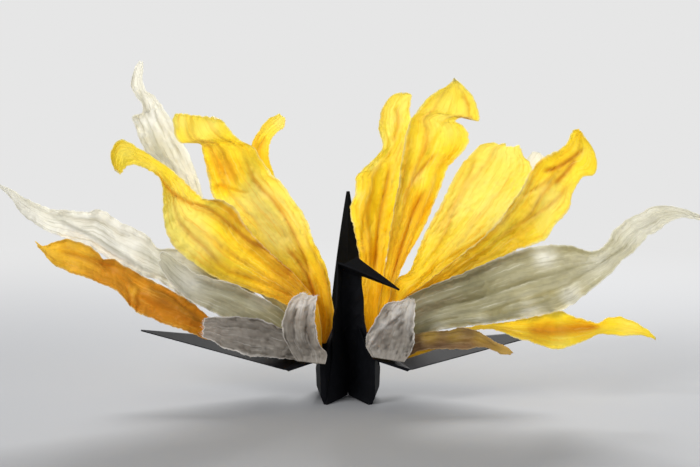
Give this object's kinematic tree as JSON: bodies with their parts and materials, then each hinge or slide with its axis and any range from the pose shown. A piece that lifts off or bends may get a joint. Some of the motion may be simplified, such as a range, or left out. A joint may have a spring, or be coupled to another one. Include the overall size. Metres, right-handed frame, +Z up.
{
  "type": "origami crane",
  "caption": "Crane folded from one square of black paper, with dried lily petals laid on its wings like feathers.",
  "frame": {"origin": "centre of the bounding box's bottom, between the four feet of the folded sheet", "axes": "+X to the picture's right along the wings, +Y from the head to the tail, +Z up"},
  "size_m": [0.2296, 0.0548, 0.1131],
  "materials": {
    "black_paper": "matte",
    "yellow_petal": "satin",
    "pale_petal": "satin",
    "claw_petal": "matte"
  },
  "bodies": {
    "root": {"crane": "black_paper", "petal_left_pale_long": "pale_petal", "petal_left_pale_low": "pale_petal", "petal_left_low_claw": "claw_petal", "petal_left_torn_claw": "claw_petal", "petal_left_yellow_front": "yellow_petal", "petal_left_yellow_middle": "yellow_petal", "petal_left_yellow_back": "yellow_petal", "petal_left_pale_tall": "pale_petal", "petal_left_yellow_low": "yellow_petal", "petal_right_pale_long": "pale_petal", "petal_right_torn_claw": "claw_petal", "petal_right_yellow_low": "yellow_petal", "petal_right_low_small": "yellow_petal", "petal_right_yellow_wide": "yellow_petal", "petal_right_yellow_lobe": "yellow_petal", "petal_right_yellow_front": "yellow_petal", "petal_right_yellow_back": "yellow_petal", "petal_right_pale_back": "pale_petal"}
  },
  "joints": []
}
